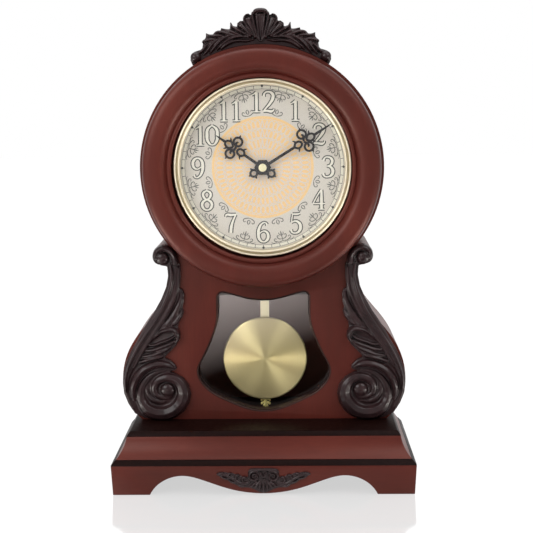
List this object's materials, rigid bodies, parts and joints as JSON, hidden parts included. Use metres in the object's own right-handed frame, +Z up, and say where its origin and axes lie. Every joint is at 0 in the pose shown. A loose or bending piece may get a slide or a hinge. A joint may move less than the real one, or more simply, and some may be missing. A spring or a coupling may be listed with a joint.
{
  "type": "desk pendulum clock",
  "caption": "Free-standing mantel clock with a round head, turned ring and silvered dial, carved scrolls and crest, a shield-shaped window with a swinging brass pendulum and a stepped base.",
  "frame": {"origin": "on the floor under the middle of the clock's outer box", "axes": "+Z up, +X to the viewer's right as seen from the front, the dial faces -Y"},
  "size_m": [0.2476, 0.144, 0.3906],
  "materials": {
    "mahogany": "dark red stain under gloss lacquer",
    "carved_mahogany": "carved, dark stain, satin lacquer",
    "black_lacquer": "black gloss lacquer",
    "back_board": "stained fibreboard, matt",
    "brass": "polished and lacquered",
    "screw_steel": "zinc plated",
    "glass": "clear float glass",
    "dial_silver": "silvered and printed",
    "spacer_white": "cream moulding",
    "hand_black": "black satin paint",
    "movement_plastic": "moulded",
    "gear_plastic": "moulded acetal",
    "coil_copper": "enamelled copper wire",
    "board_green": "solder resist",
    "battery_shell": "printed sleeve",
    "cone_paper": "pressed paper"
  },
  "bodies": {
    "case": {"base_apron_front": "mahogany", "base_side_left": "mahogany", "base_side_right": "mahogany", "base_rail_rear": "mahogany", "base_cove_molding": "mahogany", "front_panel": "mahogany", "side_left": "mahogany", "side_right": "mahogany", "head_hoop": "mahogany", "dial_ring": "mahogany", "apron_carving": "carved_mahogany", "crest_carving": "carved_mahogany", "scroll_left": "carved_mahogany", "scroll_right": "carved_mahogany", "base_lower_lip": "black_lacquer", "base_upper_lip": "black_lacquer", "back_panel": "back_board", "dial_backing": "back_board", "bezel": "brass", "hinge_leaves_case": "brass", "hinge_pins": "brass", "fixing_nut": "brass", "case_screws": "screw_steel", "small_case_screws": "screw_steel", "glass_clips": "screw_steel", "battery_contacts": "screw_steel", "pivot_pin": "screw_steel", "catch_magnet": "screw_steel", "motor_stator": "screw_steel", "window_glass": "glass", "dial_lens": "glass", "dial_plate": "dial_silver", "dial_spacer_ring": "spacer_white", "movement_housing": "movement_plastic", "movement_cover": "movement_plastic", "speaker_frame": "movement_plastic", "motor_coil": "coil_copper", "drive_coil": "coil_copper", "circuit_board": "board_green", "batteries": "battery_shell", "speaker_cone": "cone_paper"},
    "minute_arbor": {"centre_wheel": "gear_plastic", "minute_hand": "hand_black", "hand_cap": "hand_black"},
    "hour_pipe": {"hour_wheel": "gear_plastic", "hour_hand": "hand_black"},
    "minute_wheel_body": {"minute_wheel": "gear_plastic"},
    "setting_shaft": {"setting_knob": "movement_plastic"},
    "third_wheel_body": {"third_wheel": "gear_plastic"},
    "rotor": {"motor_rotor": "gear_plastic"},
    "pendulum": {"pendulum_yoke": "movement_plastic", "drive_magnet": "screw_steel", "pendulum_rod": "brass", "pendulum_bob": "brass", "pendulum_finial": "brass"},
    "door": {"access_door": "back_board", "hinge_leaves_door": "brass", "door_screws": "screw_steel", "door_knob": "brass"},
    "chime_slider": {"chime_switch": "movement_plastic"}
  },
  "joints": [
    {"name": "minute_spin", "type": "hinge", "parent": "case", "child": "minute_arbor", "pos_m": [0.0008, 0.003, 0.2618], "axis": [0, 1, 0], "continuous": true},
    {"name": "hour_spin", "type": "hinge", "parent": "case", "child": "hour_pipe", "pos_m": [0.0008, 0.003, 0.2618], "axis": [0, 1, 0], "continuous": true},
    {"name": "minute_wheel_spin", "type": "hinge", "parent": "case", "child": "minute_wheel_body", "pos_m": [0.0128, 0.003, 0.2618], "axis": [0, 1, 0], "continuous": true},
    {"name": "setting_spin", "type": "hinge", "parent": "case", "child": "setting_shaft", "pos_m": [0.0188, 0.003, 0.25141], "axis": [0, 1, 0], "continuous": true},
    {"name": "third_wheel_spin", "type": "hinge", "parent": "case", "child": "third_wheel_body", "pos_m": [-0.01167, 0.003, 0.269], "axis": [0, 1, 0], "continuous": true},
    {"name": "rotor_spin", "type": "hinge", "parent": "case", "child": "rotor", "pos_m": [-0.01847, 0.003, 0.25722], "axis": [0, 1, 0], "continuous": true},
    {"name": "pendulum_swing", "type": "hinge", "parent": "case", "child": "pendulum", "pos_m": [0.0008, 0.00455, 0.2228], "axis": [0, 1, 0], "range_deg": [-7, 7]},
    {"name": "door_swing", "type": "hinge", "parent": "case", "child": "door", "pos_m": [0.0544, 0.06835, 0.2585], "axis": [0, 0, -1], "range_deg": [0, 110]},
    {"name": "chime_slide", "type": "slide", "parent": "case", "child": "chime_slider", "axis": [1, 0, 0], "range_m": [-0.003, 0.003]}
  ],
  "couplings": [
    {"joint": "hour_spin", "follows": "minute_spin", "ratio": 0.083333},
    {"joint": "minute_wheel_spin", "follows": "minute_spin", "ratio": -0.33333},
    {"joint": "setting_spin", "follows": "minute_spin", "ratio": 1},
    {"joint": "third_wheel_spin", "follows": "minute_spin", "ratio": -8},
    {"joint": "rotor_spin", "follows": "minute_spin", "ratio": 60}
  ]
}
